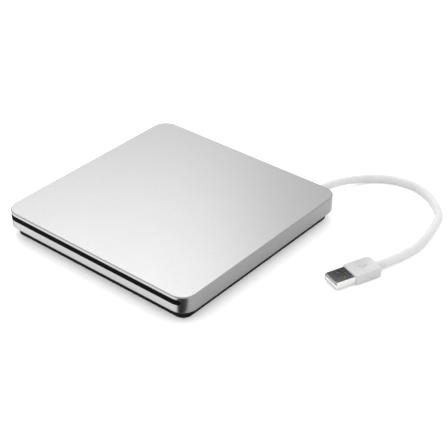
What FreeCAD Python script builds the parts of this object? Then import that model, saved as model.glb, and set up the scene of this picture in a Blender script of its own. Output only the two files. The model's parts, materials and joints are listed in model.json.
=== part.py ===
import FreeCAD, Part
import math
import os

# External slot-loading optical drive: an aluminium shell on a smaller black base,
# with a slim slot-load mechanism inside and a captive USB cable.
# Millimetres. Origin at the middle of the base pad's underside, +Z up,
# the disc slot faces -Y, the cable leaves the +Y side.

os.makedirs("parts", exist_ok=True)
V = FreeCAD.Vector
UP = V(0, 0, 1)

# ---- driving dimensions -------------------------------------------------------
# Shell
SHELL_HALF = 69.5
SHELL_BOTTOM = 6.6
SHELL_TOP = 17.0
SHELL_CORNER = 9.5
SHELL_WALL = 1.3
SHELL_ROOF = 1.4
TOP_EDGE_FILLET = 0.8
BOTTOM_EDGE_FILLET = 0.5
LIP_HALF = 66.05
LIP_THICKNESS = 1.0
LIP_CORNER = 6.0
LIP_TOP = SHELL_BOTTOM + LIP_THICKNESS
SLOT_LOW = 11.6
SLOT_HIGH = 15.1
SLOT_HALF_LENGTH = 65.2

# Felt strips that close the slot
FELT_LOW = 10.6
FELT_HIGH = 15.5
FELT_THICKNESS = 0.8
FELT_SPLIT = 13.35
FELT_GAP = 0.16
FELT_RECESS = 0.2
FELT_CLEARANCE = 0.05

# Base
TRAY_HALF = 65.75
TRAY_BOTTOM = 0.5
TRAY_TOP = 7.3
TRAY_WALL = 1.5
TRAY_FLOOR_TOP = 2.3
TRAY_CORNER = 5.75
TRAY_EDGE_FILLET = 0.5
PAD_HALF = 57.0
PAD_CORNER = 6.0
PAD_THICKNESS = 1.1
HOOK_LENGTH = 10.0
HOOK_TOP = 8.8
HOOK_REACH = 0.9
HOOK_POSITIONS = (-32.0, 32.0)

# Mechanism housing
DRIVE_HALF_X = 64.0
DRIVE_HALF_Y = 63.0
DRIVE_FOOT_HALF_X = 62.6
DRIVE_FOOT_HALF_Y = 62.4
DRIVE_BOTTOM = 5.8
SHEET = 0.6
SHELF_LOW = 8.2
LID_LOW = 14.4
LID_SHEET = 0.4
NOTCH_X = 55.0
NOTCH_Y = 54.0
FRONT_SILL = 11.2
FLOOR_TOP = DRIVE_BOTTOM + SHEET
MOUNT_X = 59.5
MOUNT_Y = 58.5
EAR_LOW = 6.4
EAR_THICKNESS = 0.6
EAR_ROUNDING = 3.0
BUSH_RADIUS = 3.0
BUSH_NECK_RADIUS = 2.1
LID_SCREW_X = 61.3
LID_SCREW_Y = (25.0, -34.0)
TAB_LOW = 13.95

# Traverse: built with the disc axis at its own origin, pickup travel along its +X
SPINDLE_Y = -1.5
TRAVERSE_TURN = 225.0
HINGE_U = 68.0
HINGE_Z = 8.3
PLATE_LOW = 9.9
PLATE_HIGH = 10.7
ROD_V = 17.2
ROD_Z = 8.3
ROD_RADIUS = 1.25
RUNNING_GAP = 0.06
SCREW_V = 23.6
SCREW_Z = 8.6
SCREW_RADIUS = 1.0
LIFT_ANGLE = 1.8

# Pickup, with the lens at the innermost track
LENS_INNER = 23.5

# Spindle
DISC_REST = 12.4
TURNTABLE_RADIUS = 15.0
HUB_RADIUS = 7.35
CUP_RADIUS = 10.3
SHAFT_RADIUS = 1.0
STATOR_TEETH = 9
JAW_ANGLES = (60.0, 180.0, 300.0)

# Loading train
SLIDE_TRAVEL = 10.0
SLIDE_FRONT = 23.0
SLIDE_BACK = 27.0
SLIDE_LOW = 6.7
SLIDE_HIGH = 10.9
RACK_TOP = 8.6
CAM_PIN_X = -22.6
CAM_PIN_Z = 9.6
CAM_PIN_RADIUS = 0.6
CAM_SLOT_GAP = 0.2
CAM_PIN_DROP = 70.76 * math.sin(math.radians(LIFT_ANGLE))
GEAR_MODULE = 0.5
PINION_TEETH = 14
WHEEL_TEETH = 28
GEAR_X = 49.0
WORM_RADIUS = 1.8
WORM_ROOT = 1.05
WORM_TURNS = 3
WORM_X = 57.55
WORM_Z = 10.0
MOTOR_RADIUS = 4.4
MOTOR_HALF_HEIGHT = 3.5
MOTOR_BOSS_RADIUS = 1.9
MOTOR_FRONT = 37.1
MOTOR_BACK = 49.6
BRACKET_THICKNESS = 0.6

# Disc levers
ARM_LOW = 11.2
ARM_HIGH = 11.8
ROLLER_TOP = 14.0
EJECT_PIVOT = (-52.0, 44.0)
EJECT_TIP = (6.0, 60.6)
EJECT_SWING = 41.7
GUIDE_PIVOT = (53.5, -22.0)
GUIDE_REACH = 25.7
GUIDE_REST_ANGLE = -110.0
POST_NECK = 1.0

# Cable and plug
CABLE_RADIUS = 2.5
CABLE_START_Z = 11.2
CABLE_EXIT_X = 52.0
CABLE_EXIT_Z = 10.8
GROMMET_RADIUS = 3.15
GROMMET_FLANGE_RADIUS = 4.0
PLUG_HEADING = 69.1
PLUG_MOUTH = (106.75, 9.4)
PLUG_AXIS_Z = 3.2
PLUG_SHELL_LENGTH = 12.3
PLUG_SHELL_HALF_WIDTH = 6.0
PLUG_SHELL_HALF_HEIGHT = 2.25
PLUG_BODY_LENGTH = 17.9
PLUG_BODY_HALF_WIDTH = 7.15
PLUG_BODY_HALF_HEIGHT = 3.15
PLUG_BACK_CORNER = 2.4
PLUG_FRONT_CORNER = 1.4
PLUG_EDGE_FILLET = 1.1
CABLE_IN_PLUG = 3.0

# The cable's centreline as straight runs between these corners. It leaves the
# back wall level, sinks to the table, and sweeps round to the front right.
CABLE_ROUTE = (
    (CABLE_EXIT_X, 65.8, CABLE_START_Z),
    (52.2, 85.0, 8.4),
    (56.4, 108.1, 3.1),
    (71.0, 122.6, 2.54),
    (93.5, 126.2, 2.53),
    (117.0, 109.7, 2.54),
    (122.6, 91.1, 2.53),
    (127.1, 61.6, 2.7),
)


# ---- small building helpers ---------------------------------------------------
def box(x0, x1, y0, y1, z0, z1):
    return Part.makeBox(x1 - x0, y1 - y0, z1 - z0, V(x0, y0, z0))


def cylinder(x, y, z0, z1, radius):
    return Part.makeCylinder(radius, z1 - z0, V(x, y, z0), UP)


def ring(x, y, z0, z1, outer, inner):
    return cylinder(x, y, z0, z1, outer).cut(cylinder(x, y, z0, z1, inner))


def rod_between(start, end, radius):
    direction = end.sub(start)
    return Part.makeCylinder(radius, direction.Length, start, direction)


def prism(points, z0, z1):
    corners = [V(x, y, z0) for x, y in points]
    wire = Part.makePolygon(corners + corners[:1])
    return Part.Face(wire).extrude(V(0, 0, z1 - z0))


def level_edges(shape, z):
    found = []
    for edge in shape.Edges:
        bounds = edge.BoundBox
        if abs(bounds.ZMin - z) < 1e-4 and abs(bounds.ZMax - z) < 1e-4:
            found.append(edge)
    return found


def upright_edges(shape, height):
    found = []
    for edge in shape.Edges:
        bounds = edge.BoundBox
        if abs(bounds.ZLength - height) < 1e-4 and bounds.XLength + bounds.YLength < 1e-4:
            found.append(edge)
    return found


def rounded_block(half_x, half_y, corner, z0, z1):
    block = box(-half_x, half_x, -half_y, half_y, z0, z1)
    return block.makeFillet(corner, upright_edges(block, z1 - z0))


def join(shapes):
    whole = shapes[0]
    for shape in shapes[1:]:
        whole = whole.fuse(shape)
    return whole.removeSplitter()


def cut_all(shape, tools):
    for tool in tools:
        shape = shape.cut(tool)
    return shape


def link_plate(start, start_radius, end, end_radius, z0, z1):
    """A flat lever: two round ends joined by straight sides."""
    along_x = end[0] - start[0]
    along_y = end[1] - start[1]
    length = math.hypot(along_x, along_y)
    side_x = -along_y / length
    side_y = along_x / length
    outline = [
        (start[0] + side_x * start_radius, start[1] + side_y * start_radius),
        (start[0] - side_x * start_radius, start[1] - side_y * start_radius),
        (end[0] - side_x * end_radius, end[1] - side_y * end_radius),
        (end[0] + side_x * end_radius, end[1] + side_y * end_radius),
    ]
    ends = [
        cylinder(start[0], start[1], z0, z1, start_radius),
        cylinder(end[0], end[1], z0, z1, end_radius),
    ]
    return join([prism(outline, z0, z1)] + ends)


def swung(point, pivot, degrees):
    """The point after turning about the pivot, seen from above."""
    turn = math.radians(degrees)
    dx = point[0] - pivot[0]
    dy = point[1] - pivot[1]
    return (
        pivot[0] + dx * math.cos(turn) - dy * math.sin(turn),
        pivot[1] + dx * math.sin(turn) + dy * math.cos(turn),
    )


def on_traverse(shape):
    """Moves a shape from the traverse's own axes to the drive's axes."""
    moved = shape.copy()
    moved.rotate(V(0, 0, 0), UP, TRAVERSE_TURN)
    moved.translate(V(0, SPINDLE_Y, 0))
    return moved


def rounded_path(points):
    """Straight runs joined by tangent arcs; returns the wire and the arc radii."""
    edges = []
    radii = []
    here = points[0]
    for index in range(1, len(points) - 1):
        corner = points[index]
        back = points[index - 1].sub(corner)
        ahead = points[index + 1].sub(corner)
        trim = 0.45 * min(back.Length, ahead.Length)
        half_turn = (math.pi - back.getAngle(ahead)) / 2
        radius = trim / math.tan(half_turn)
        back.normalize()
        ahead.normalize()
        arc_start = corner.add(V(back).multiply(trim))
        arc_end = corner.add(V(ahead).multiply(trim))
        inward = back.add(ahead)
        inward.normalize()
        sagitta = radius / math.cos(half_turn) - radius
        arc_middle = corner.add(inward.multiply(sagitta))
        edges.append(Part.LineSegment(here, arc_start).toShape())
        edges.append(Part.Arc(arc_start, arc_middle, arc_end).toShape())
        radii.append(radius)
        here = arc_end
    edges.append(Part.LineSegment(here, points[-1]).toShape())
    return Part.Wire(edges), radii


def tube_along(points, radius):
    path, radii = rounded_path(points)
    direction = points[1].sub(points[0])
    section = Part.Wire(Part.makeCircle(radius, points[0], direction))
    tube = path.makePipeShell([section], True, True)
    return tube, path.Length, radii


# ---- shell, felt and base -----------------------------------------------------
def slot_cutter(grow, depth_start, depth_end):
    """A bar with rounded ends, the shape of the disc slot."""
    low = SLOT_LOW - grow
    high = SLOT_HIGH + grow
    radius = (high - low) / 2
    end = SLOT_HALF_LENGTH + grow - radius
    middle = (low + high) / 2
    bar = box(-end, end, depth_start, depth_end, low, high)
    along = V(0, 1, 0)
    length = depth_end - depth_start
    ends = [
        Part.makeCylinder(radius, length, V(side * end, depth_start, middle), along)
        for side in (-1, 1)
    ]
    return join([bar] + ends)


def make_top_shell():
    outer = rounded_block(SHELL_HALF, SHELL_HALF, SHELL_CORNER, SHELL_BOTTOM, SHELL_TOP)
    outer = outer.makeFillet(TOP_EDGE_FILLET, level_edges(outer, SHELL_TOP))
    outer = outer.makeFillet(BOTTOM_EDGE_FILLET, level_edges(outer, SHELL_BOTTOM))
    inner_half = SHELL_HALF - SHELL_WALL
    room = rounded_block(
        inner_half,
        inner_half,
        SHELL_CORNER - SHELL_WALL,
        LIP_TOP,
        SHELL_TOP - SHELL_ROOF,
    )
    opening = rounded_block(LIP_HALF, LIP_HALF, LIP_CORNER, SHELL_BOTTOM - 1, LIP_TOP + 1)
    slot = slot_cutter(0, -SHELL_HALF - 1, -SHELL_HALF + 5.5)
    cable_hole = Part.makeCylinder(
        GROMMET_RADIUS, 4, V(CABLE_EXIT_X, SHELL_HALF - 3, CABLE_EXIT_Z), V(0, 1, 0)
    )
    return cut_all(outer, [room, opening, slot, cable_hole])


def make_felt(low, high):
    """A strip glued inside the front wall, with a rib that fills its half of the slot."""
    wall_face = SHELL_HALF - SHELL_WALL
    wall_corner = SHELL_CORNER - SHELL_WALL + 0.3
    strip = rounded_block(wall_face, wall_face, wall_corner, low, high)
    rib_half = SHELL_HALF - FELT_RECESS
    rib = rounded_block(rib_half, rib_half, SHELL_CORNER - FELT_RECESS, low, high)
    rib = rib.common(slot_cutter(-FELT_CLEARANCE, -SHELL_HALF, -SHELL_HALF + 7))
    back_half = wall_face - FELT_THICKNESS
    behind = rounded_block(
        back_half, back_half, wall_corner - FELT_THICKNESS, low - 1, high + 1
    )
    front = box(-80, 80, -80, -62.5, low, high)
    return join([strip, rib]).cut(behind).common(front)


def make_slot_felts():
    upper = make_felt(FELT_SPLIT + FELT_GAP / 2, FELT_HIGH)
    lower = make_felt(FELT_LOW, FELT_SPLIT - FELT_GAP / 2)
    return Part.makeCompound([upper, lower])


def make_base_tray():
    outer = rounded_block(TRAY_HALF, TRAY_HALF, TRAY_CORNER, TRAY_BOTTOM, TRAY_TOP)
    outer = outer.makeFillet(TRAY_EDGE_FILLET, level_edges(outer, TRAY_BOTTOM))
    inner_half = TRAY_HALF - TRAY_WALL
    room = rounded_block(
        inner_half, inner_half, TRAY_CORNER - TRAY_WALL, TRAY_FLOOR_TOP, TRAY_TOP + 1
    )
    tray = outer.cut(room)
    recess = rounded_block(PAD_HALF, PAD_HALF, PAD_CORNER, TRAY_BOTTOM - 1, PAD_THICKNESS)
    tray = tray.cut(recess)
    additions = []
    for side in range(4):
        for position in HOOK_POSITIONS:
            additions.append(snap_hook(position, side))
    for x, y in mount_points():
        additions.append(cylinder(x, y, TRAY_FLOOR_TOP - 0.2, 5.2, 2.6))
    for x, y in bridge_screw_points():
        additions.append(cylinder(x, y, TRAY_FLOOR_TOP - 0.2, 3.0, 1.7))
    for position in (-40.0, -20.0, 0.0, 20.0):
        additions.append(
            box(position - 0.5, position + 0.5, -58.0, 30.0, TRAY_FLOOR_TOP - 0.2, 2.9)
        )
    tray = join([tray] + additions)
    for x, y in mount_points():
        tray = tray.cut(cylinder(x, y, 2.6, 5.3, 0.9))
    for x, y in bridge_screw_points():
        tray = tray.cut(cylinder(x, y, 2.0, 3.1, 0.6))
    return tray


def snap_hook(position, side):
    """A springy tab on the tray wall whose nose catches on the shell's lip."""
    tab_back = TRAY_HALF - 1.1
    tab = box(
        position - HOOK_LENGTH / 2,
        position + HOOK_LENGTH / 2,
        tab_back,
        TRAY_HALF,
        TRAY_TOP - 0.5,
        HOOK_TOP,
    )
    nose_low = LIP_TOP + 0.1
    profile = [
        V(position - HOOK_LENGTH / 2, TRAY_HALF - 0.1, nose_low),
        V(position - HOOK_LENGTH / 2, TRAY_HALF + HOOK_REACH, nose_low),
        V(position - HOOK_LENGTH / 2, TRAY_HALF - 0.1, HOOK_TOP),
    ]
    nose = Part.Face(Part.makePolygon(profile + profile[:1])).extrude(V(HOOK_LENGTH, 0, 0))
    hook = join([tab, nose])
    hook.rotate(V(0, 0, 0), UP, 90 * side)
    return hook


def make_base_pad():
    pad = rounded_block(PAD_HALF, PAD_HALF, PAD_CORNER, 0, PAD_THICKNESS)
    return pad.makeFillet(0.3, level_edges(pad, 0))


# ---- mechanism housing --------------------------------------------------------
def notched_outline(half_x, half_y, shrink):
    """A rectangle with its four corners stepped in, drawn anticlockwise."""
    nx = NOTCH_X - shrink
    ny = NOTCH_Y - shrink
    hx = half_x - shrink
    hy = half_y - shrink
    return [
        (nx, -hy), (nx, -ny), (hx, -ny), (hx, ny), (nx, ny), (nx, hy),
        (-nx, hy), (-nx, ny), (-hx, ny), (-hx, -ny), (-nx, -ny), (-nx, -hy),
    ]


def mount_points():
    return [(sx * MOUNT_X, sy * MOUNT_Y) for sx in (-1, 1) for sy in (-1, 1)]


def lid_screw_points():
    return [(sx * LID_SCREW_X, y) for sx in (-1, 1) for y in LID_SCREW_Y]


def board_screw_points():
    return [(-36.0, 36.0), (34.0, 36.0), (-36.0, 57.0), (34.0, 57.0)]


def bridge_screw_points():
    return [(-12.0, 45.0), (50.0, 45.0), (-12.0, 58.0), (44.0, 58.0)]


def traverse_opening():
    outline = [
        (-19, -14.5), (-9, -23.5), (55, -23.5), (64, -19),
        (64, 17), (57, 26), (50, 28.5), (-9, 28.5), (-19, 16),
    ]
    return on_traverse(prism(outline, DRIVE_BOTTOM - 1, FLOOR_TOP + 0.1))


def hinge_bracket(side):
    near = 13.2
    far = 14.4
    low_v = min(side * near, side * far)
    bracket = box(HINGE_U - 2, HINGE_U + 2, low_v, low_v + far - near, DRIVE_BOTTOM, 9.7)
    hole = Part.makeCylinder(
        1.0 + RUNNING_GAP, 4, V(HINGE_U, low_v - 1, HINGE_Z), V(0, 1, 0)
    )
    return on_traverse(bracket.cut(hole))


def mount_ear(x, y):
    """A flat ear across a corner notch, rounded where it nears the tray's corner."""
    x_range = sorted((math.copysign(54.6, x), math.copysign(62.4, x)))
    y_range = sorted((math.copysign(53.6, y), math.copysign(61.8, y)))
    ear = box(*x_range, *y_range, EAR_LOW, EAR_LOW + EAR_THICKNESS)
    outermost = [
        edge
        for edge in upright_edges(ear, EAR_THICKNESS)
        if abs(edge.BoundBox.XMin) > MOUNT_X and abs(edge.BoundBox.YMin) > MOUNT_Y
    ]
    return ear.makeFillet(EAR_ROUNDING, outermost)


def make_drive_chassis():
    foot = prism(notched_outline(DRIVE_FOOT_HALF_X, DRIVE_FOOT_HALF_Y, 0), DRIVE_BOTTOM, 8.8)
    upper = prism(notched_outline(DRIVE_HALF_X, DRIVE_HALF_Y, 0), SHELF_LOW, LID_LOW)
    foot_room = prism(
        notched_outline(DRIVE_FOOT_HALF_X, DRIVE_FOOT_HALF_Y, SHEET), FLOOR_TOP, 9.0
    )
    upper_room = prism(
        notched_outline(DRIVE_HALF_X, DRIVE_HALF_Y, SHEET), SHELF_LOW + SHEET, LID_LOW + 1
    )
    pan = join([foot, upper]).cut(foot_room).cut(upper_room)
    disc_way = box(-61.5, 61.5, -64, -53, FRONT_SILL, LID_LOW + 1)
    slide_well = box(-48, -6, SLIDE_FRONT - 0.4, SLIDE_BACK + 0.9, 5, FLOOR_TOP + 0.1)
    connector_hole = box(-9, 9, 53, 59, 5, FLOOR_TOP + 0.1)
    pan = cut_all(pan, [disc_way, traverse_opening(), slide_well, connector_hole])
    additions = [hinge_bracket(1), hinge_bracket(-1)]
    additions.extend(mount_ear(x, y) for x, y in mount_points())
    for x, y in lid_screw_points():
        x_range = sorted((math.copysign(59.6, x), math.copysign(63.6, x)))
        additions.append(box(*x_range, y - 3, y + 3, TAB_LOW, LID_LOW))
    for x, y in board_screw_points():
        additions.append(cylinder(x, y, FLOOR_TOP - 0.2, 7.4, 1.8))
    additions.append(
        box(54.2, 62.2, MOTOR_FRONT - BRACKET_THICKNESS, MOTOR_FRONT, FLOOR_TOP - 0.2, 12.6)
    )
    pan = join([pan] + additions)
    for x, y in mount_points():
        pan = pan.cut(cylinder(x, y, EAR_LOW - 1, EAR_LOW + 1.2, BUSH_NECK_RADIUS + 0.05))
    for x, y in lid_screw_points():
        pan = pan.cut(cylinder(x, y, TAB_LOW - 0.1, LID_LOW + 0.1, 0.7))
    for x, y in board_screw_points():
        pan = pan.cut(cylinder(x, y, FLOOR_TOP, 7.5, 0.7))
    boss_hole = Part.makeCylinder(
        MOTOR_BOSS_RADIUS + 0.1, 2, V(WORM_X, MOTOR_FRONT - 1, WORM_Z), V(0, 1, 0)
    )
    return pan.cut(boss_hole)


def make_drive_lid():
    sheet = prism(notched_outline(DRIVE_HALF_X, DRIVE_HALF_Y, 0), LID_LOW, LID_LOW + LID_SHEET)
    stop_ring = ring(0, SPINDLE_Y, 13.95, LID_LOW + 0.1, 13.0, 11.4)
    lid = join([sheet, stop_ring])
    lid = lid.cut(cylinder(0, SPINDLE_Y, 13, 16, 10.0))
    for x, y in lid_screw_points():
        lid = lid.cut(cylinder(x, y, LID_LOW - 1, 16, 0.7))
    for angle in (45, 135, 225, 315):
        inner = swung((28, 0), (0, 0), angle)
        outer = swung((46, 0), (0, 0), angle)
        groove = link_plate(inner, 1.5, outer, 1.5, LID_LOW + 0.2, LID_LOW + 1)
        groove.translate(V(0, SPINDLE_Y, 0))
        lid = lid.cut(groove)
    return lid


def pan_screw(x, y, seat, head_radius, head_height, shank_radius, reach):
    """A pan-head screw pointing down from the seat height."""
    head = cylinder(x, y, seat, seat + head_height, head_radius)
    shank = cylinder(x, y, seat - reach, seat, shank_radius)
    drive_slot = box(
        x - head_radius * 0.7, x + head_radius * 0.7, y - 0.2, y + 0.2,
        seat + head_height * 0.5, seat + head_height + 1,
    )
    return join([head, shank]).cut(drive_slot)


def screw_row(points, seat, head_radius, head_height, shank_radius, reach):
    return [
        pan_screw(x, y, seat, head_radius, head_height, shank_radius, reach)
        for x, y in points
    ]


def make_mount_screws():
    return Part.makeCompound(screw_row(mount_points(), 8.0, 2.1, 1.1, 0.9, 5.3))


def make_small_screws():
    """The lid's, the main board's and the bridge board's screws."""
    lid = screw_row(lid_screw_points(), LID_LOW + LID_SHEET, 1.3, 0.55, 0.7, 0.85)
    main = screw_row(board_screw_points(), 8.2, 1.3, 0.7, 0.7, 1.6)
    bridge = screw_row(bridge_screw_points(), 3.8, 1.3, 0.7, 0.6, 1.6)
    return Part.makeCompound(lid + main + bridge)


def make_mount_bushes():
    bushes = []
    for x, y in mount_points():
        bush = join([
            cylinder(x, y, 5.2, EAR_LOW, BUSH_RADIUS),
            cylinder(x, y, EAR_LOW, EAR_LOW + EAR_THICKNESS, BUSH_NECK_RADIUS),
            cylinder(x, y, EAR_LOW + EAR_THICKNESS, 8.0, BUSH_RADIUS),
        ])
        bushes.append(bush.cut(cylinder(x, y, 5, 9, 0.9)))
    return Part.makeCompound(bushes)


# ---- traverse (in its own axes) -----------------------------------------------
def motor_leg_points():
    return [swung((14.2, 0), (0, 0), angle) for angle in (82, 180, 278)]


def make_traverse_frame():
    outline = [
        (-17, -13), (-10, -20), (-6, -21.5), (63, -21.5), (70, -14),
        (70, 14), (63.5, 20.5), (60, 21), (-10, 21), (-17, 14),
    ]
    plate = prism(outline, PLATE_LOW, PLATE_HIGH)
    plate = plate.cut(box(14.3, 66.4, -15, 15, PLATE_LOW - 1, PLATE_HIGH + 1))
    plate = plate.cut(cylinder(0, 0, PLATE_LOW - 1, PLATE_HIGH + 1, 10.9))
    additions = [
        box(-6, 62, -21.5, -20.7, 7.2, PLATE_LOW + 0.1),
        box(8.2, 9.2, 20, 26.6, 6.4, PLATE_HIGH),
        box(55.5, 57.6, 20, 25.4, 7.0, PLATE_HIGH),
        box(0.5, 6.0, -31, -21, PLATE_LOW, PLATE_HIGH),
    ]
    for side in (-1, 1):
        for low_u, high_u in ((10.8, 14.0), (62.0, 65.4)):
            v_range = sorted((side * 15.4, side * 19.0))
            additions.append(box(low_u, high_u, *v_range, 6.9, PLATE_LOW + 0.1))
        lug_range = sorted((side * 9.6, side * 12.6))
        additions.append(box(66.6, 69.4, *lug_range, 7.2, PLATE_LOW + 0.1))
        pin_start = V(HINGE_U, side * 12.4, HINGE_Z)
        pin_end = V(HINGE_U, side * 15.4, HINGE_Z)
        additions.append(rod_between(pin_start, pin_end, 1.0))
    for u, v in motor_leg_points():
        additions.append(cylinder(u, v, 7.6, PLATE_LOW + 0.1, 1.3))
    frame = join([plate] + additions)
    for side in (-1, 1):
        start = V(10.0, side * ROD_V, ROD_Z)
        frame = frame.cut(rod_between(start, V(66, side * ROD_V, ROD_Z), ROD_RADIUS))
    screw_way = rod_between(
        V(7, SCREW_V, SCREW_Z), V(60, SCREW_V, SCREW_Z), SCREW_RADIUS + RUNNING_GAP
    )
    frame = frame.cut(screw_way)
    for u, v in motor_leg_points():
        frame = frame.cut(cylinder(u, v, 7.5, 9.5, 0.6))
    frame = on_traverse(frame)
    cam_pin = rod_between(
        V(CAM_PIN_X, 16.6, CAM_PIN_Z + 0.3), V(CAM_PIN_X, 18.8, CAM_PIN_Z + 0.3), 0.9
    )
    tip = rod_between(
        V(CAM_PIN_X, 18.0, CAM_PIN_Z), V(CAM_PIN_X, SLIDE_BACK + 0.2, CAM_PIN_Z), CAM_PIN_RADIUS
    )
    return join([frame, cam_pin, tip])


def make_guide_rods():
    rods = []
    for side in (-1, 1):
        start = V(10.8, side * ROD_V, ROD_Z)
        rods.append(rod_between(start, V(65.4, side * ROD_V, ROD_Z), ROD_RADIUS))
    return on_traverse(Part.makeCompound(rods))


def make_motor_base():
    base = cylinder(0, 0, 7.0, 7.6, 12.6)
    ears = [cylinder(u, v, 7.0, 7.6, 2.0) for u, v in motor_leg_points()]
    links = [link_plate((0, 0), 4, leg, 2.0, 7.0, 7.6) for leg in motor_leg_points()]
    base = join([base] + ears + links)
    base = base.cut(cylinder(0, 0, 6.9, 7.7, 1.6))
    for u, v in motor_leg_points():
        base = base.cut(cylinder(u, v, 6.9, 7.7, 0.6))
    return on_traverse(base)


def make_motor_screws():
    screws = []
    for u, v in motor_leg_points():
        head = cylinder(u, v, 6.3, 7.0, 1.3)
        screws.append(join([head, cylinder(u, v, 7.0, 9.4, 0.6)]))
    return on_traverse(Part.makeCompound(screws))


def make_spindle_bearing():
    sleeve = cylinder(0, 0, 7.6, 10.4, 2.8)
    foot = cylinder(0, 0, 7.0, 7.6, 1.6)
    bore = cylinder(0, 0, 7.5, 10.5, SHAFT_RADIUS + 0.03)
    return on_traverse(join([sleeve, foot]).cut(bore))


def stator_tooth(angle):
    stem = box(3.8, 7.6, -0.7, 0.7, 8.9, 9.9)
    head = ring(0, 0, 8.9, 9.9, 8.2, 7.4).common(box(6, 9, -2.2, 2.2, 8, 11))
    tooth = join([stem, head])
    tooth.rotate(V(0, 0, 0), UP, angle)
    return tooth


def make_stator_core():
    teeth = [stator_tooth(360 / STATOR_TEETH * index) for index in range(STATOR_TEETH)]
    core = join([ring(0, 0, 8.9, 9.9, 4.2, 2.8)] + teeth)
    return on_traverse(core)


def make_stator_coils():
    coils = []
    for index in range(STATOR_TEETH):
        coil = box(4.9, 7.0, -1.15, 1.15, 8.45, 10.35)
        coil = coil.cut(box(4, 8, -0.7, 0.7, 8.9, 9.9))
        coil = coil.makeFillet(0.25, upright_edges(coil, 1.9))
        coil.rotate(V(0, 0, 0), UP, 360 / STATOR_TEETH * index)
        coils.append(coil)
    return on_traverse(Part.makeCompound(coils))


def make_sled_motor():
    can = Part.makeCylinder(2.9, 14, V(-6, SCREW_V, SCREW_Z), V(1, 0, 0))
    can = can.common(box(-7, 9, SCREW_V - 2.9, SCREW_V + 2.9, SCREW_Z - 2.4, SCREW_Z + 2.4))
    can = can.common(box(-7, 9, SCREW_V - 2.35, SCREW_V + 3, 5, 12))
    bore = Part.makeCylinder(SCREW_RADIUS + 0.3, 6, V(4, SCREW_V, SCREW_Z), V(1, 0, 0))
    flange = box(8.0, 8.2, SCREW_V - 2.35, SCREW_V + 2.9, 6.4, 10.8)
    return on_traverse(join([can, flange]).cut(bore))


def make_lead_screw():
    """The screw that drives the pickup, as a plain rod of its crest diameter."""
    screw = rod_between(V(5, SCREW_V, SCREW_Z), V(57.4, SCREW_V, SCREW_Z), SCREW_RADIUS)
    return on_traverse(screw)


# ---- pickup (in the traverse's axes, lens at its innermost place) --------------
def make_pickup_housing():
    lens = LENS_INNER
    body = box(lens - 7.8, lens + 7.8, -14.2, 14.2, 6.7, 9.6)
    crown = box(lens - 6.2, lens + 7.0, -9.2, 9.2, 9.0, 10.4)
    bearings = []
    for side in (-1, 1):
        v_range = sorted((side * 14.0, side * 19.2))
        bearings.append(box(lens - 7.5, lens + 3.5, *v_range, 6.7, 9.65))
    housing = join([body, crown] + bearings)
    pocket = box(lens - 5.2, lens + 5.2, -8.0, 8.0, 8.6, 11)
    housing = housing.cut(pocket)
    for side in (-1, 1):
        start = V(lens - 10, side * ROD_V, ROD_Z)
        way = rod_between(start, V(lens + 10, side * ROD_V, ROD_Z), ROD_RADIUS + RUNNING_GAP)
        housing = housing.cut(way)
    diode_bore = rod_between(V(lens + 5.4, -11, 8.2), V(lens + 9, -11, 8.2), 1.3)
    return on_traverse(housing.cut(diode_bore))


def make_pickup_cover():
    lens = LENS_INNER
    plate = box(lens - 6.2, lens + 7.0, -9.2, 9.2, 10.4, 10.6)
    window = box(lens - 4.6, lens + 4.6, -6.4, 6.4, 10, 11)
    return on_traverse(plate.cut(window))


def make_laser_diode():
    return on_traverse(
        rod_between(V(LENS_INNER + 5.4, -11, 8.2), V(LENS_INNER + 7.8, -11, 8.2), 1.3)
    )


def make_actuator_magnets():
    magnets = []
    for side in (-1, 1):
        u_range = sorted((LENS_INNER + side * 4.1, LENS_INNER + side * 5.2))
        magnets.append(box(*u_range, -3.4, 3.4, 8.6, 10.3))
    return on_traverse(Part.makeCompound(magnets))


def make_lead_nut():
    nut = box(LENS_INNER - 7.5, LENS_INNER - 3.0, 19.2, SCREW_V - SCREW_RADIUS - 0.15, 7.8, 9.4)
    return on_traverse(nut)


def make_lens_holder():
    lens = LENS_INNER
    holder = box(lens - 3.0, lens + 3.0, -5.2, 5.2, 9.4, 10.5)
    holder = holder.cut(cylinder(lens, 0, 9, 11, 2.2))
    return on_traverse(holder)


def make_objective_lens():
    lens = LENS_INNER
    rim = cylinder(lens, 0, 9.7, 10.6, 2.2)
    dome = Part.makeSphere(3.4, V(lens, 0, 7.7)).common(cylinder(lens, 0, 10.5, 12, 2.0))
    return on_traverse(join([rim, dome]))


def make_focus_coils():
    coils = []
    for side in (-1, 1):
        u_range = sorted((LENS_INNER + side * 3.0, LENS_INNER + side * 3.5))
        coil = box(*u_range, -2.8, 2.8, 9.5, 10.4)
        hollow = box(*u_range, -1.8, 1.8, 9.75, 10.15)
        coils.append(coil.cut(hollow))
    return on_traverse(Part.makeCompound(coils))


# ---- spindle (turns about the disc axis) --------------------------------------
def make_rotor_cup():
    cup = cylinder(0, 0, 8.0, 11.2, CUP_RADIUS)
    room = cylinder(0, 0, 7.9, 10.7, CUP_RADIUS - 0.5)
    return on_traverse(cup.cut(room).cut(cylinder(0, 0, 7.9, 11.3, SHAFT_RADIUS)))


def make_rotor_magnet():
    return on_traverse(ring(0, 0, 8.2, 10.6, CUP_RADIUS - 0.5, 8.6))


def make_spindle_shaft():
    return on_traverse(cylinder(0, 0, 7.8, 13.0, SHAFT_RADIUS))


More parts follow.
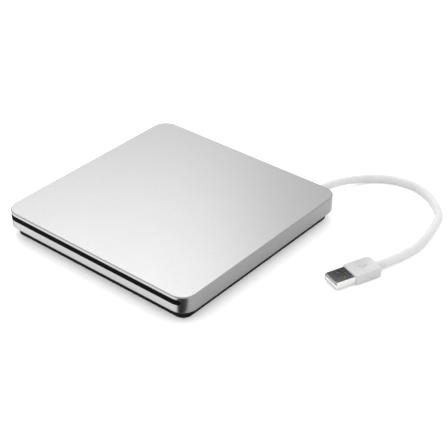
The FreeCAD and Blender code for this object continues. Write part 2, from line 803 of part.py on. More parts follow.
def make_turntable():
    flange = cylinder(0, 0, 11.4, 12.1, TURNTABLE_RADIUS)
    foot = cylinder(0, 0, 11.2, 11.5, 6.0)
    hub = cylinder(0, 0, 12.0, 13.5, HUB_RADIUS)
    nose = Part.makeCone(HUB_RADIUS, HUB_RADIUS - 1.3, 0.6, V(0, 0, 13.5), UP)
    table = join([flange, foot, hub, nose])
    table = table.cut(cylinder(0, 0, 11, 13.0, SHAFT_RADIUS))
    table = table.cut(ring(0, 0, 12.0, 12.2, 14.6, 11.2))
    for angle in JAW_ANGLES:
        window = box(3.9, 8.0, -2.1, 2.1, 12.3, 13.75)
        window.rotate(V(0, 0, 0), UP, angle)
        table = table.cut(window)
    return on_traverse(table)


def make_turntable_ring():
    return on_traverse(ring(0, 0, 12.0, DISC_REST, 14.6, 11.2))


def make_clamp_jaw(angle):
    jaw = box(4.9, 7.7, -1.8, 1.8, 12.6, 13.45)
    slope = Part.Face(Part.makePolygon([
        V(7.1, -2, 13.5), V(7.8, -2, 13.5), V(7.8, -2, 13.0), V(7.1, -2, 13.5),
    ])).extrude(V(0, 4, 0))
    jaw = jaw.cut(slope)
    jaw.rotate(V(0, 0, 0), UP, angle)
    return on_traverse(jaw)


# ---- loading train ------------------------------------------------------------
def gear_prism(teeth, z0, z1, phase):
    """A spur gear about the Z axis with involute flanks and a little backlash."""
    pitch = GEAR_MODULE * teeth / 2
    base = pitch * math.cos(math.radians(20))
    tip = pitch + 0.85 * GEAR_MODULE
    root = pitch - 1.2 * GEAR_MODULE
    involute = math.tan(math.radians(20)) - math.radians(20)
    half_tooth = math.pi / (2 * teeth) - 0.07 / pitch
    steps = 4
    outline = []
    for index in range(teeth):
        middle = 2 * math.pi * index / teeth + phase
        flank = []
        low = max(base, root)
        for step in range(steps + 1):
            radius = low + (tip - low) * step / steps
            pressure = math.acos(min(1.0, base / radius))
            spread = half_tooth + involute - (math.tan(pressure) - pressure)
            flank.append((radius, spread))
        foot_spread = flank[0][1]
        outline.append((root, middle - foot_spread))
        outline.extend((radius, middle - spread) for radius, spread in flank)
        outline.extend((radius, middle + spread) for radius, spread in reversed(flank))
        outline.append((root, middle + foot_spread))
    points = [(radius * math.cos(turn), radius * math.sin(turn)) for radius, turn in outline]
    return prism(points, z0, z1)


def gear_y():
    """The pinion's centre sits one pitch radius behind the rack's pitch line."""
    return SLIDE_BACK + GEAR_MODULE * PINION_TEETH / 2 + 0.02


def make_loading_gear():
    pinion = gear_prism(PINION_TEETH, 6.9, 9.0, -math.pi / 2)
    wheel = gear_prism(WHEEL_TEETH, 8.9, 10.9, 0)
    gear = join([pinion, wheel])
    gear = gear.cut(cylinder(0, 0, 6, 12, POST_NECK + 0.05))
    gear.translate(V(GEAR_X, gear_y(), 0))
    return gear


def make_worm():
    """A single-start worm on the motor shaft: one tooth space of the wheel per turn."""
    pitch = math.pi * GEAR_MODULE
    start = gear_y() - WORM_TURNS * pitch / 2
    end = start + WORM_TURNS * pitch
    core = rod_between(V(WORM_X, start - 0.5, WORM_Z), V(WORM_X, end + 0.5, WORM_Z), WORM_ROOT)
    shaft = rod_between(V(WORM_X, start - 1, WORM_Z), V(WORM_X, MOTOR_BACK - 1.6, WORM_Z), 0.5)
    thread = worm_thread(pitch, WORM_TURNS * pitch)
    thread.translate(V(WORM_X, start, WORM_Z))
    return join([core, thread, shaft])


def worm_thread(pitch, length):
    """A helical rib along +Y, starting on the wheel's side."""
    middle = (WORM_ROOT + WORM_RADIUS) / 2
    helix = Part.makeHelix(pitch, length, middle)
    foot = 0.34 * GEAR_MODULE * math.pi * 0.62
    crest = foot * 0.45
    profile = [
        V(WORM_ROOT - 0.15, 0, -foot), V(WORM_RADIUS, 0, -crest),
        V(WORM_RADIUS, 0, crest), V(WORM_ROOT - 0.15, 0, foot),
    ]
    section = Part.makePolygon(profile + profile[:1])
    thread = Part.Wire(helix).makePipeShell([section], True, True)
    thread.rotate(V(0, 0, 0), V(1, 0, 0), -90)
    thread.rotate(V(0, 0, 0), V(0, 1, 0), 180)
    return thread


def make_cam_slide():
    heel_reach = SLIDE_TRAVEL / 2 / math.sin(math.radians(EJECT_SWING / 2))
    pin = swung((EJECT_PIVOT[0], EJECT_PIVOT[1] - heel_reach), EJECT_PIVOT, EJECT_SWING / 2)
    rail = box(-50.0, 44.0, SLIDE_FRONT, SLIDE_BACK - 0.9, SLIDE_LOW, RACK_TOP)
    rack_bar = box(-50.0, 61.4, SLIDE_FRONT, SLIDE_BACK - 0.6, SLIDE_LOW, RACK_TOP)
    cam_block = box(-27.0, -8.0, SLIDE_FRONT, SLIDE_BACK, 5.9, SLIDE_HIGH)
    left_block = box(-50.0, -44.0, SLIDE_FRONT, SLIDE_BACK, SLIDE_LOW, SLIDE_HIGH)
    top_rail = box(-50.0, -20.0, SLIDE_FRONT, SLIDE_BACK, 9.9, SLIDE_HIGH)
    pin_tab = box(pin[0] - 2.2, pin[0] + 2.2, SLIDE_BACK - 1, pin[1] + 1.6, 9.9, SLIDE_HIGH)
    heel_pin = cylinder(pin[0], pin[1], SLIDE_HIGH - 0.5, 12.0, 0.8)
    pieces = [rail, rack_bar, cam_block, left_block, top_rail, pin_tab, heel_pin]
    slide = join(pieces + rack_teeth())
    return slide.cut(cam_slot())


def rack_teeth():
    """Straight-sided teeth; one gap faces the pinion's tooth at rest."""
    pitch = math.pi * GEAR_MODULE
    slope = math.tan(math.radians(20))
    root = SLIDE_BACK - 0.6
    tip = SLIDE_BACK + 0.42
    half_width = pitch / 4 - 0.07
    foot = half_width + 0.6 * slope
    crest = half_width - 0.42 * slope
    teeth = []
    for index in range(-1, 8):
        middle = GEAR_X + pitch * (index - 0.5)
        if middle + foot < 61.4:
            outline = [
                (middle - foot, root - 0.1), (middle + foot, root - 0.1), (middle + foot, root),
                (middle + crest, tip), (middle - crest, tip), (middle - foot, root),
            ]
            teeth.append(prism(outline, SLIDE_LOW, RACK_TOP))
    return teeth


def cam_slot():
    """The sloping slot that lowers the traverse's pin as the slide moves to -X."""
    radius = CAM_PIN_RADIUS + CAM_SLOT_GAP
    start = V(CAM_PIN_X, 22, CAM_PIN_Z)
    end = V(CAM_PIN_X + SLIDE_TRAVEL, 22, CAM_PIN_Z - CAM_PIN_DROP)
    along = end.sub(start)
    across = V(along.z, 0, -along.x)
    across.normalize()
    across.multiply(radius)
    corners = [start.add(across), end.add(across), end.sub(across), start.sub(across)]
    depth = V(0, 6, 0)
    bar = Part.Face(Part.makePolygon(corners + corners[:1])).extrude(depth)
    ends = [Part.makeCylinder(radius, 6, point, V(0, 1, 0)) for point in (start, end)]
    return join([bar] + ends)


def motor_slab(half_height):
    """The space between the motor's two flat faces."""
    return box(50, 65, 30, 55, WORM_Z - half_height, WORM_Z + half_height)


def make_loading_motor():
    back = V(0, 1, 0)
    length = MOTOR_BACK - MOTOR_FRONT
    can = Part.makeCylinder(MOTOR_RADIUS, length, V(WORM_X, MOTOR_FRONT, WORM_Z), back)
    can = can.common(motor_slab(MOTOR_HALF_HEIGHT))
    boss = Part.makeCylinder(MOTOR_BOSS_RADIUS, 0.8, V(WORM_X, MOTOR_FRONT - 0.7, WORM_Z), back)
    bore = Part.makeCylinder(0.56, length + 2, V(WORM_X, MOTOR_FRONT - 1, WORM_Z), back)
    return join([can, boss]).cut(bore)


def make_motor_cap():
    cap = Part.makeCylinder(MOTOR_RADIUS - 0.1, 1.6, V(WORM_X, MOTOR_BACK, WORM_Z), V(0, 1, 0))
    cap = cap.common(motor_slab(MOTOR_HALF_HEIGHT - 0.1))
    terminals = [
        box(x - 0.5, x + 0.5, MOTOR_BACK + 1.4, MOTOR_BACK + 2.8, 9.8, 10.1)
        for x in (WORM_X - 2.6, WORM_X + 2.6)
    ]
    return join([cap] + terminals)


# ---- levers, posts and guides -------------------------------------------------
def make_eject_arm():
    heel_reach = SLIDE_TRAVEL / 2 / math.sin(math.radians(EJECT_SWING / 2))
    straight_down = (EJECT_PIVOT[0], EJECT_PIVOT[1] - heel_reach)
    heel_end = swung(straight_down, EJECT_PIVOT, EJECT_SWING / 2)
    arm = link_plate(EJECT_PIVOT, 3.4, EJECT_TIP, 1.7, ARM_LOW, ARM_HIGH)
    heel = link_plate(EJECT_PIVOT, 3.4, heel_end, 2.4, ARM_LOW, ARM_HIGH)
    arm = join([arm, heel])
    closest = heel_reach * math.cos(math.radians(EJECT_SWING / 2))
    slot_inner = swung((EJECT_PIVOT[0], EJECT_PIVOT[1] - closest), EJECT_PIVOT, EJECT_SWING / 2)
    heel_slot = link_plate(slot_inner, 1.0, heel_end, 1.0, ARM_LOW - 1, ARM_HIGH + 1)
    arm = arm.cut(heel_slot)
    hole = cylinder(*EJECT_PIVOT, ARM_LOW - 1, ARM_HIGH + 1, POST_NECK + 0.05)
    return arm.cut(hole)


def make_eject_roller():
    return cylinder(*EJECT_TIP, ARM_HIGH, ROLLER_TOP, 1.2)


def guide_tip():
    turn = math.radians(GUIDE_REST_ANGLE)
    return (
        GUIDE_PIVOT[0] + GUIDE_REACH * math.cos(turn),
        GUIDE_PIVOT[1] + GUIDE_REACH * math.sin(turn),
    )


def make_guide_arm():
    arm = link_plate(GUIDE_PIVOT, 3.2, guide_tip(), 1.7, ARM_LOW, ARM_HIGH)
    hole = cylinder(*GUIDE_PIVOT, ARM_LOW - 1, ARM_HIGH + 1, POST_NECK + 0.05)
    return arm.cut(hole)


def make_guide_roller():
    return cylinder(*guide_tip(), ARM_HIGH, ROLLER_TOP, 1.2)


def make_guide_spring():
    """A torsion spring wound round the guide arm's post."""
    coil_radius = 2.7
    wire_radius = 0.24
    helix = Part.makeHelix(0.8, 3.2, coil_radius)
    turns = [math.radians(45 * index + 22.5) for index in range(8)]
    corners = [
        V(coil_radius + wire_radius * math.cos(turn), 0, wire_radius * math.sin(turn))
        for turn in turns
    ]
    section = Part.makePolygon(corners + corners[:1])
    coil = Part.Wire(helix).makePipeShell([section], True, True)
    coil.translate(V(GUIDE_PIVOT[0], GUIDE_PIVOT[1], 6.8))
    return coil


def arm_posts():
    posts = []
    for x, y in (EJECT_PIVOT, GUIDE_PIVOT):
        shoulder = cylinder(x, y, FLOOR_TOP, ARM_LOW - 0.1, 2.0)
        neck = cylinder(x, y, ARM_LOW - 0.2, 12.25, POST_NECK)
        groove = ring(x, y, 11.9, 12.1, POST_NECK + 1, POST_NECK - 0.25)
        posts.append(join([shoulder, neck]).cut(groove))
    return posts


def make_pivot_posts():
    gear_post = join([
        cylinder(GEAR_X, gear_y(), FLOOR_TOP, 6.8, 2.2),
        cylinder(GEAR_X, gear_y(), 6.7, 11.4, POST_NECK),
    ]).cut(ring(GEAR_X, gear_y(), 11.05, 11.25, POST_NECK + 1, POST_NECK - 0.25))
    return Part.makeCompound(arm_posts() + [gear_post])


def retaining_clip(x, y, low):
    clip = ring(x, y, low, low + 0.2, 1.9, POST_NECK - 0.25)
    return clip.cut(box(x - 0.6, x + 0.6, y - 3, y, low - 1, low + 1))


def make_retaining_clips():
    clips = [retaining_clip(x, y, 11.9) for x, y in (EJECT_PIVOT, GUIDE_PIVOT)]
    clips.append(retaining_clip(GEAR_X, gear_y(), 11.05))
    return Part.makeCompound(clips)


def make_disc_guide():
    rail = box(-63.4, -60.7, -40, 40, 11.9, 13.8)
    groove = Part.Face(Part.makePolygon([
        V(-60.6, -41, 12.4), V(-61.6, -41, 13.0), V(-60.6, -41, 13.6), V(-60.6, -41, 12.4),
    ])).extrude(V(0, 82, 0))
    return rail.cut(groove)


# ---- circuit boards and wiring ------------------------------------------------
def make_main_board():
    board = box(-40, 38, 31.6, 60.5, 7.4, 8.2)
    for x, y in board_screw_points():
        board = board.cut(cylinder(x, y, 7, 9, 0.7))
    return board


def chip(x, y, width, depth, z, height):
    return box(x - width / 2, x + width / 2, y - depth / 2, y + depth / 2, z, z + height)


def make_main_chips():
    chips = [
        chip(0, 45, 14, 14, 8.2, 1.3),
        chip(-19, 46, 9, 13, 8.2, 1.1),
        chip(19, 43, 8, 8, 8.2, 1.0),
        chip(-31, 47, 5, 6, 8.2, 1.2),
    ]
    for row in range(2):
        for column in range(6):
            chips.append(chip(-14 + column * 5.6, 34.2 + row * 20.6, 1.6, 1.0, 8.2, 0.7))
    return Part.makeCompound(chips)


def make_flex_sockets():
    sockets = [
        box(-12, 2, 57.2, 60.0, 8.2, 9.6),
        box(12, 24, 57.2, 60.0, 8.2, 9.6),
        box(26, 32, 46, 52, 8.2, 9.6),
    ]
    return Part.makeCompound(sockets)


def make_bridge_board():
    board = box(-16, 54, 41.5, 61.2, 3.0, 3.8)
    for x, y in bridge_screw_points():
        board = board.cut(cylinder(x, y, 2, 5, 0.6))
    return board


def make_bridge_chips():
    return Part.makeCompound([
        chip(20, 50, 9, 9, 3.8, 1.1),
        chip(34, 50, 5, 5, 3.8, 1.0),
        chip(6, 47, 6, 4, 3.8, 1.0),
        chip(44, 51, 4, 3, 3.8, 1.2),
    ])


def make_interface_connector():
    return box(-8, 8, 54, 58, 3.8, 7.4)


def make_usb_wires():
    wires = []
    for index in range(4):
        x = CABLE_EXIT_X - 2.7 + index * 1.4
        start_x = CABLE_EXIT_X - 1.05 + index * 0.7
        points = [
            V(start_x, 65.7, CABLE_START_Z),
            V(start_x, 64.9, CABLE_START_Z - 0.3),
            V(x, 63.8, 7.2),
            V(x, 63.4, 5.0),
            V(x, 61.8, 4.5),
            V(x, 60.2, 4.3),
        ]
        tube, _, _ = tube_along(points, 0.3)
        wires.append(tube)
    return Part.makeCompound(wires)


def make_cable_grommet():
    outward = V(0, 1, 0)
    inner_face = SHELL_HALF - SHELL_WALL
    flange = Part.makeCylinder(
        GROMMET_FLANGE_RADIUS, 1.2, V(CABLE_EXIT_X, inner_face - 1.2, CABLE_EXIT_Z), outward
    )
    flange = flange.cut(box(40, 60, 60, 70, 4, LIP_TOP + 0.05))
    sleeve = Part.makeCylinder(
        GROMMET_RADIUS, SHELL_WALL + 0.3, V(CABLE_EXIT_X, inner_face, CABLE_EXIT_Z), outward
    )
    cable_start, cable_bend = V(*CABLE_ROUTE[0]), V(*CABLE_ROUTE[1])
    return join([flange, sleeve]).cut(rod_between(cable_start, cable_bend, CABLE_RADIUS))


# ---- plug (built with its mouth at y = 0, then turned and set down) ------------
def set_plug(shape):
    placed = shape.copy()
    placed.rotate(V(0, 0, 0), UP, PLUG_HEADING - 90)
    placed.translate(V(PLUG_MOUTH[0], PLUG_MOUTH[1], 0))
    return placed


def plug_point(distance):
    turn = math.radians(PLUG_HEADING)
    return V(
        PLUG_MOUTH[0] + distance * math.cos(turn),
        PLUG_MOUTH[1] + distance * math.sin(turn),
        PLUG_AXIS_Z,
    )


def make_plug_shell():
    half_width = PLUG_SHELL_HALF_WIDTH
    low = PLUG_AXIS_Z - PLUG_SHELL_HALF_HEIGHT
    high = PLUG_AXIS_Z + PLUG_SHELL_HALF_HEIGHT
    sheet = 0.3
    length = PLUG_SHELL_LENGTH + 4
    tube = box(-half_width, half_width, 0, length, low, high)
    along = [e for e in tube.Edges if e.BoundBox.YLength > length - 0.1]
    tube = tube.makeFillet(0.5, along)
    inner = half_width - sheet
    tube = tube.cut(box(-inner, inner, -1, length + 1, low + sheet, high - sheet))
    for z in (low - 1, high - 0.5):
        for x in (-3.0, 3.0):
            tube = tube.cut(box(x - 1.15, x + 1.15, 5.5, 7.8, z, z + 1.5))
    seam_slot = box(-0.9, 0.9, 9.2, 10.0, high - 0.5, high + 1)
    return set_plug(tube.cut(seam_slot))


def make_plug_tongue():
    back = PLUG_SHELL_LENGTH + 2
    return set_plug(box(-5.6, 5.6, 0.4, back, PLUG_AXIS_Z - 1.95, PLUG_AXIS_Z))


def make_plug_contacts():
    contacts = []
    for x, start in ((-3.5, 1.2), (-1.0, 2.2), (1.0, 2.2), (3.5, 1.2)):
        contacts.append(box(x - 0.5, x + 0.5, start, 10.5, PLUG_AXIS_Z, PLUG_AXIS_Z + 0.12))
    return set_plug(Part.makeCompound(contacts))


def make_plug_body():
    front = PLUG_SHELL_LENGTH
    back = PLUG_SHELL_LENGTH + PLUG_BODY_LENGTH
    low = PLUG_AXIS_Z - PLUG_BODY_HALF_HEIGHT
    high = PLUG_AXIS_Z + PLUG_BODY_HALF_HEIGHT
    body = box(-PLUG_BODY_HALF_WIDTH, PLUG_BODY_HALF_WIDTH, front, back, low, high)
    back_edges = [e for e in upright_edges(body, high - low) if e.BoundBox.YMin > back - 0.1]
    body = body.makeFillet(PLUG_BACK_CORNER, back_edges)
    front_edges = [e for e in upright_edges(body, high - low) if e.BoundBox.YMax < front + 0.1]
    body = body.makeFillet(PLUG_FRONT_CORNER, front_edges)
    body = body.makeFillet(PLUG_EDGE_FILLET, level_edges(body, high) + level_edges(body, low))
    socket = box(
        -PLUG_SHELL_HALF_WIDTH, PLUG_SHELL_HALF_WIDTH, front - 1, front + 4,
        PLUG_AXIS_Z - PLUG_SHELL_HALF_HEIGHT, PLUG_AXIS_Z + PLUG_SHELL_HALF_HEIGHT,
    )
    body = set_plug(body.cut(socket))
    cable_end, cable_bend = cable_points()[-1], cable_points()[-2]
    return body.cut(rod_between(cable_end, cable_bend, CABLE_RADIUS))


def cable_points():
    """The route's corners, ending inside the back of the plug body."""
    end = plug_point(PLUG_SHELL_LENGTH + PLUG_BODY_LENGTH - CABLE_IN_PLUG)
    return [V(*point) for point in CABLE_ROUTE] + [end]


def make_usb_cable():
    points = cable_points()
    tube, length, radii = tube_along(points, CABLE_RADIUS)
    expected = math.pi * CABLE_RADIUS ** 2 * length
    print("cable length", round(length, 1), "radii", [round(radius, 1) for radius in radii])
    print("runs", [round(a.distanceToPoint(b), 1) for a, b in zip(points, points[1:])])
    print("cable end", [round(value, 2) for value in points[-1]])
    print("cable volume over section x length", round(tube.Volume / expected, 4))
    print("cable lowest point", round(tube.optimalBoundingBox(False, False).ZMin, 3))
    return tube


# ---- every node of the drive --------------------------------------------------
def all_nodes():
    return {
        "top_shell": make_top_shell(),
        "slot_felts": make_slot_felts(),
        "base_tray": make_base_tray(),
        "base_pad": make_base_pad(),
        "drive_chassis": make_drive_chassis(),
        "drive_lid": make_drive_lid(),
        "small_screws": make_small_screws(),
        "mount_bushes": make_mount_bushes(),
        "mount_screws": make_mount_screws(),
        "traverse_frame": make_traverse_frame(),
        "guide_rods": make_guide_rods(),
        "motor_base": make_motor_base(),
        "motor_screws": make_motor_screws(),
        "spindle_bearing": make_spindle_bearing(),
        "stator_core": make_stator_core(),
        "stator_coils": make_stator_coils(),
        "sled_motor": make_sled_motor(),
        "lead_screw": make_lead_screw(),
        "pickup_housing": make_pickup_housing(),
        "pickup_cover": make_pickup_cover(),
        "laser_diode": make_laser_diode(),
        "actuator_magnets": make_actuator_magnets(),
        "lead_nut": make_lead_nut(),
        "lens_holder": make_lens_holder(),
        "objective_lens": make_objective_lens(),
        "focus_coils": make_focus_coils(),
        "rotor_cup": make_rotor_cup(),
        "rotor_magnet": make_rotor_magnet(),
        "spindle_shaft": make_spindle_shaft(),
        "turntable": make_turntable(),
        "turntable_ring": make_turntable_ring(),
        "clamp_jaw_1": make_clamp_jaw(JAW_ANGLES[0]),
        "clamp_jaw_2": make_clamp_jaw(JAW_ANGLES[1]),
        "clamp_jaw_3": make_clamp_jaw(JAW_ANGLES[2]),
        "cam_slide": make_cam_slide(),
        "loading_gear": make_loading_gear(),
        "loading_worm": make_worm(),
        "loading_motor": make_loading_motor(),
        "motor_cap": make_motor_cap(),
        "eject_arm": make_eject_arm(),
        "eject_roller": make_eject_roller(),
        "guide_arm": make_guide_arm(),
        "guide_roller": make_guide_roller(),
        "guide_spring": make_guide_spring(),
        "pivot_posts": make_pivot_posts(),
        "retaining_clips": make_retaining_clips(),
        "disc_guide": make_disc_guide(),
        "main_board": make_main_board(),
        "main_chips": make_main_chips(),
        "flex_sockets": make_flex_sockets(),
        "bridge_board": make_bridge_board(),
        "bridge_chips": make_bridge_chips(),
        "interface_connector": make_interface_connector(),
        "usb_wires": make_usb_wires(),
        "cable_grommet": make_cable_grommet(),
        "usb_cable": make_usb_cable(),
        "plug_body": make_plug_body(),
        "plug_shell": make_plug_shell(),
        "plug_tongue": make_plug_tongue(),
        "plug_contacts": make_plug_contacts(),
    }


def export_nodes():
    for name, shape in all_nodes().items():
        solids = shape.Solids
        if not shape.isValid() or not solids:
            print("PROBLEM", name, "valid", shape.isValid(), "solids", len(solids))
        shape.exportStep("parts/" + name + ".step")
        print(name, "solids", len(solids), "volume", round(shape.Volume, 2))


export_nodes()
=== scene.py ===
import json
import math

import bmesh
import bpy
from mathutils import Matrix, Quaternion, Vector


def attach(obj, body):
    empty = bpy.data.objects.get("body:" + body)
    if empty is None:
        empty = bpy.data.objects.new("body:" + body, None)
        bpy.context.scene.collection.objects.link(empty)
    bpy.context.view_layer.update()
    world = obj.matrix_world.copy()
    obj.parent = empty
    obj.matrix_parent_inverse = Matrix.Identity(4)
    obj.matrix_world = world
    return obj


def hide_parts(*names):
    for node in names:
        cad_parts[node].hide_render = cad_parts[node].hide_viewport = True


# The looks of an external slot-loading optical drive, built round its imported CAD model.
# Metres throughout. The disc slot faces -Y and the cable leaves the +Y side.

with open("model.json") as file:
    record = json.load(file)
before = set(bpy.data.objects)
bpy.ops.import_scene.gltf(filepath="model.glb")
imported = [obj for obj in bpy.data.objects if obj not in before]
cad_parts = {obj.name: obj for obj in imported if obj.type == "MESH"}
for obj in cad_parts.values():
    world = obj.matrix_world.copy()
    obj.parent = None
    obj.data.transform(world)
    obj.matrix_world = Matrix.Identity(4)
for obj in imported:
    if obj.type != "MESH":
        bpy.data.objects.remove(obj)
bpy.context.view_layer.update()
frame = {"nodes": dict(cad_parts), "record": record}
nodes = frame["nodes"]

MM = 0.001

# ---- camera -------------------------------------------------------------------
CAMERA_PLACE = Vector((390.65, -428.67, 387.5)) * MM
CAMERA_TARGET = Vector((22.53, 19.28, 0.0)) * MM
CAMERA_ROLL = math.radians(0.25)
CAMERA_LENS = 94.33

# ---- the cable, with the same corner points as the CAD tube --------------------
CABLE_DIAMETER = 5.0 * MM
CABLE_ROUTE = [
    (52.0, 65.8, 11.2),
    (52.2, 85.0, 8.4),
    (56.4, 108.1, 3.1),
    (71.0, 122.6, 2.54),
    (93.5, 126.2, 2.53),
    (117.0, 109.7, 2.54),
    (122.6, 91.1, 2.53),
    (127.1, 61.6, 2.7),
    (116.45, 34.81, 3.2),
]

# ---- the mark moulded on the plug, in the plug's own axes ----------------------
PLUG_MOUTH = Vector((106.75, 9.4, 3.2)) * MM
PLUG_TURN = math.radians(69.1 - 90.0)
PLUG_TOP = 3.15 * MM
MARK_DEPTH = 0.03 * MM
MARK_DOT_START = (-0.6 * MM, 19.4 * MM)
MARK_DOT_END = (-0.6 * MM, 19.41 * MM)
MARK_DOT_RADIUS = 0.7 * MM
MARK_BAR_START = (0.8 * MM, 20.0 * MM)
MARK_BAR_END = (0.2 * MM, 23.4 * MM)
MARK_BAR_RADIUS = 0.4 * MM


def link(obj):
    bpy.context.scene.collection.objects.link(obj)
    return obj


def make_camera():
    data = bpy.data.cameras.new("camera")
    data.lens = CAMERA_LENS
    data.sensor_width = 36.0
    data.clip_start = 0.01
    data.clip_end = 20.0
    camera = link(bpy.data.objects.new("camera", data))
    aim = (CAMERA_TARGET - CAMERA_PLACE).to_track_quat("-Z", "Y")
    camera.location = CAMERA_PLACE
    camera.rotation_mode = "QUATERNION"
    camera.rotation_quaternion = aim @ Quaternion((0, 0, 1), CAMERA_ROLL)
    bpy.context.scene.camera = camera


def make_cable():
    """One smooth open spline with a round bevel.

    The thickness is set on the points, because the box that Blender gives for a curve grows by the
    points' radius and not by the bevel.
    """
    curve = bpy.data.curves.new("cable", "CURVE")
    curve.dimensions = "3D"
    curve.resolution_u = 24
    curve.bevel_depth = 1.0
    curve.bevel_resolution = 8
    spline = curve.splines.new("NURBS")
    spline.points.add(len(CABLE_ROUTE) - 1)
    for point, place in zip(spline.points, CABLE_ROUTE):
        x, y, z = Vector(place) * MM
        point.co = (x, y, z, 1)
        point.radius = CABLE_DIAMETER / 2
    spline.order_u = 3
    spline.use_endpoint_u = True
    cable = link(bpy.data.objects.new("cable", curve))
    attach(cable, "housing")
    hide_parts("usb_cable")
    return cable


def capsule_outline(start, end, radius, steps=12):
    """Points round two half circles joined by straight sides."""
    heading = math.atan2(end[1] - start[1], end[0] - start[0])
    outline = []
    for centre, turn in ((end, heading - math.pi / 2), (start, heading + math.pi / 2)):
        for step in range(steps + 1):
            angle = turn + math.pi * step / steps
            x = centre[0] + radius * math.cos(angle)
            y = centre[1] + radius * math.sin(angle)
            outline.append((x, y))
    return outline


def make_plug_mark():
    """A plain dot and a short bar, raised by a hair from the plug's top."""
    shapes = [
        capsule_outline(MARK_DOT_START, MARK_DOT_END, MARK_DOT_RADIUS),
        capsule_outline(MARK_BAR_START, MARK_BAR_END, MARK_BAR_RADIUS),
    ]
    build = bmesh.new()
    for outline in shapes:
        rings = []
        for height in (PLUG_TOP - MARK_DEPTH, PLUG_TOP + MARK_DEPTH):
            rings.append([build.verts.new((x, y, height)) for x, y in outline])
        low, high = rings
        build.faces.new(high)
        build.faces.new(list(reversed(low)))
        for index in range(len(outline)):
            after = (index + 1) % len(outline)
            build.faces.new((low[index], low[after], high[after], high[index]))
    mesh = bpy.data.meshes.new("plug_mark")
    build.to_mesh(mesh)
    build.free()
    mark = link(bpy.data.objects.new("plug_mark", mesh))
    mark.location = PLUG_MOUTH
    mark.rotation_euler = (0, 0, PLUG_TURN)
    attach(mark, "housing")
    return mark


# ---- material building blocks --------------------------------------------------
class Shader:
    """A material with its Principled node and short calls to add what feeds it."""

    def __init__(self, name, color, roughness, metallic=0.0):
        self.material = bpy.data.materials.new(name)
        self.material.use_nodes = True
        self.tree = self.material.node_tree
        self.principled = self.tree.nodes["Principled BSDF"]
        self.set("Base Color", (*color, 1.0))
        self.set("Roughness", roughness)
        self.set("Metallic", metallic)
        self.coordinates = self.tree.nodes.new("ShaderNodeTexCoord")
        self.bump_normal = None

    def set(self, socket, value):
        self.principled.inputs[socket].default_value = value

    def wire(self, source, target):
        self.tree.links.new(source, target)

    def noise(self, scale, detail=2.0, stretch=(1, 1, 1)):
        """Noise in object space; the scale is in features per metre."""
        mapping = self.tree.nodes.new("ShaderNodeMapping")
        mapping.inputs["Scale"].default_value = stretch
        self.wire(self.coordinates.outputs["Object"], mapping.inputs["Vector"])
        noise = self.tree.nodes.new("ShaderNodeTexNoise")
        noise.inputs["Scale"].default_value = scale
        noise.inputs["Detail"].default_value = detail
        self.wire(mapping.outputs["Vector"], noise.inputs["Vector"])
        return noise.outputs["Fac"]

    def ramp(self, value, low, high, low_color, high_color):
        ramp = self.tree.nodes.new("ShaderNodeValToRGB")
        ramp.color_ramp.elements[0].position = low
        ramp.color_ramp.elements[0].color = (*low_color, 1.0)
        ramp.color_ramp.elements[1].position = high
        ramp.color_ramp.elements[1].color = (*high_color, 1.0)
        self.wire(value, ramp.inputs["Fac"])
        return ramp.outputs["Color"]

    def vary_color(self, value, low_color, high_color, low=0.35, high=0.65):
        color = self.ramp(value, low, high, low_color, high_color)
        self.wire(color, self.principled.inputs["Base Color"])

    def vary_roughness(self, value, low, high):
        span = self.tree.nodes.new("ShaderNodeMapRange")
        span.inputs["To Min"].default_value = low
        span.inputs["To Max"].default_value = high
        self.wire(value, span.inputs["Value"])
        self.wire(span.outputs["Result"], self.principled.inputs["Roughness"])

    def bump(self, height, depth, strength=1.0):
        """Adds relief of the given depth in metres."""
        bump = self.tree.nodes.new("ShaderNodeBump")
        bump.inputs["Distance"].default_value = depth
        bump.inputs["Strength"].default_value = strength
        self.wire(height, bump.inputs["Height"])
        if self.bump_normal is not None:
            self.wire(self.bump_normal, bump.inputs["Normal"])
        self.bump_normal = bump.outputs["Normal"]
        self.wire(self.bump_normal, self.principled.inputs["Normal"])


def shade(value):
    """A grey with a breath of blue."""
    return (value, value, value * 1.005)


ALUMINIUM_TONE = 0.25
ALUMINIUM_ROUGHNESS = 0.3
FELT_TONE = 0.004
TRAY_TONE = 0.006
WHITE_TONE = 0.50
PLUG_TONE = 0.42


def blasted_aluminium():
    """Bead-blasted, clear anodised: a fine even grain with faint clouding."""
    shader = Shader("blasted_aluminium", shade(ALUMINIUM_TONE), ALUMINIUM_ROUGHNESS, 1.0)
    grain = shader.noise(2600, 3.0)
    cloud = shader.noise(60, 2.0)
    darker = shade(ALUMINIUM_TONE * 0.9)
    lighter = shade(ALUMINIUM_TONE * 1.1)
    shader.vary_color(grain, darker, lighter, 0.3, 0.7)
    shader.vary_roughness(cloud, ALUMINIUM_ROUGHNESS - 0.02, ALUMINIUM_ROUGHNESS + 0.02)
    shader.bump(grain, 0.000012, 0.5)
    return shader.material


def black_felt():
    """Matt fibres that reflect almost nothing."""
    shader = Shader("black_felt", shade(FELT_TONE), 0.95)
    shader.set("Specular IOR Level", 0.03)
    fibres = shader.noise(1500, 4.0, (1, 1, 2.5))
    shader.vary_color(fibres, shade(FELT_TONE * 0.75), shade(FELT_TONE * 1.5))
    shader.bump(fibres, 0.00012, 0.8)
    return shader.material


def moulded_plastic(name, color, roughness=0.5, grain=1800, depth=0.00002, gloss=0.5):
    """Injection-moulded plastic with a fine spark-eroded grain."""
    shader = Shader(name, color, roughness)
    shader.set("Specular IOR Level", gloss)
    grain_noise = shader.noise(grain, 2.0)
    cloud = shader.noise(90, 2.0)
    darker = tuple(channel * 0.93 for channel in color)
    lighter = tuple(min(1.0, channel * 1.05) for channel in color)
    shader.vary_color(cloud, darker, lighter)
    shader.vary_roughness(grain_noise, roughness - 0.06, roughness + 0.06)
    shader.bump(grain_noise, depth, 0.5)
    return shader.material


